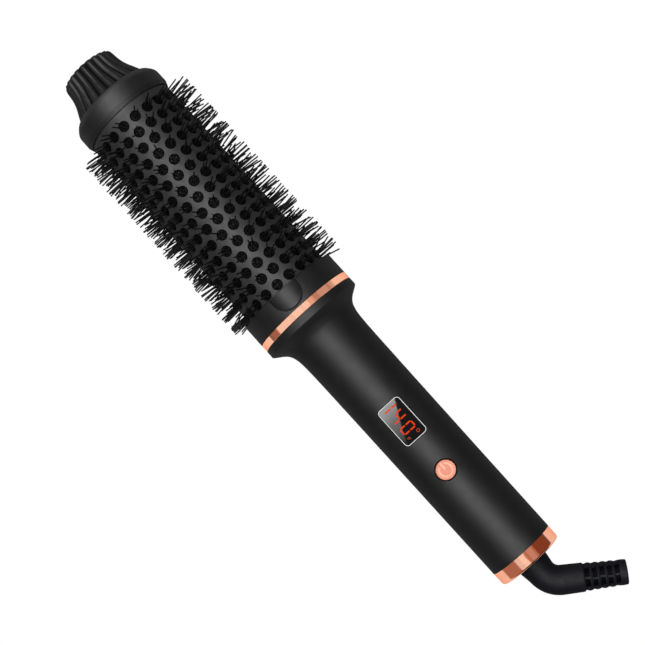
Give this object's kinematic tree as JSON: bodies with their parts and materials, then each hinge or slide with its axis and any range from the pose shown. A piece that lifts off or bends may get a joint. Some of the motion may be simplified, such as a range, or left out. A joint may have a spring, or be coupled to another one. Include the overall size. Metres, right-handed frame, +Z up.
{
  "type": "heated round brush",
  "caption": "Heated round brush: perforated barrel with bristle tufts, fluted cool tip, flared handle with a digit display and press button, rose-gold rings, swivelling elbow cord boot.",
  "frame": {"origin": "on the surface the brush lies on, below the middle of its overall box", "axes": "+X along the brush from the fluted tip towards the cord, +Z up out of the display and the button, +Y to the side that the cord boot bends to"},
  "size_m": [0.3273, 0.0616, 0.0616],
  "materials": {
    "cool_tip": "black heat-resistant moulding, fine satin",
    "barrel": "aluminium tube with a dark satin ceramic coat",
    "bristle": "black nylon",
    "rose_metal": "polished rose gold",
    "rose_button": "satin rose gold",
    "handle": "black soft-touch coat",
    "silver_frame": "satin silver",
    "smoked_window": "smoked clear plastic window",
    "black_module": "black moulded case",
    "red_digits": "lit segments",
    "cord_boot": "black flexible moulding",
    "inner_plastic": "natural heat-resistant plastic",
    "brass_contact": "plated contact",
    "steel": "zinc plated",
    "core_aluminium": "extruded",
    "ceramic": "sintered",
    "amber_film": "polyimide film",
    "green_board": "solder resist",
    "yellow_case": "film capacitor case",
    "silicone": "translucent silicone",
    "lead_white": "glass-sleeved wire",
    "lead_blue": "insulated wire"
  },
  "bodies": {
    "root": {"barrel_mount": "black_module", "barrel_tube": "barrel", "base_collar": "cool_tip", "base_ring": "cool_tip", "board_screws": "steel", "bristle_segments": "bristle", "button_pad": "silicone", "buzzer": "black_module", "capacitor": "yellow_case", "contact_carrier": "inner_plastic", "contact_springs": "brass_contact", "control_board": "green_board", "display_bezel": "silver_frame", "display_digits": "red_digits", "display_module": "black_module", "display_window": "smoked_window", "end_cap": "handle", "end_ring": "rose_metal", "front_ring": "rose_metal", "fuse_lead": "lead_white", "handle_lower_shell": "handle", "handle_screws": "steel", "handle_upper_shell": "handle", "heat_disc_front": "core_aluminium", "heat_disc_rear": "core_aluminium", "heat_spreader_lower": "core_aluminium", "heat_spreader_upper": "core_aluminium", "heater_electrodes": "brass_contact", "heater_insulation": "amber_film", "heater_leads": "lead_white", "mains_fuse": "ceramic", "mains_leads": "lead_blue", "microcontroller": "black_module", "nose_boss_bush": "steel", "ptc_plates": "ceramic", "sensor_leads": "lead_white", "spreader_screws": "steel", "tact_switch": "black_module", "thermal_fuse": "core_aluminium", "thermistor": "ceramic", "tip_cap": "cool_tip", "tip_collar": "cool_tip", "tip_screw": "steel", "triac": "black_module"},
    "power_button": {"power_button": "rose_button", "switch_plunger": "inner_plastic"},
    "cord_swivel": {"swivel_core": "inner_plastic", "slip_rings": "brass_contact", "ring_spacer": "inner_plastic", "retaining_clip": "steel", "cord_boot": "cord_boot"}
  },
  "joints": [
    {"name": "power_button_press", "type": "slide", "parent": "root", "child": "power_button", "axis": [0, 0, -1], "range_m": [0, 0.0006], "stiffness_N_per_m": 1500, "springref_m": -0.0004, "deforming": ["button_pad"]},
    {"name": "cord_swivel_turn", "type": "hinge", "parent": "root", "child": "cord_swivel", "pos_m": [0.1171, 0, 0.0308], "axis": [1, 0, 0], "continuous": true}
  ]
}
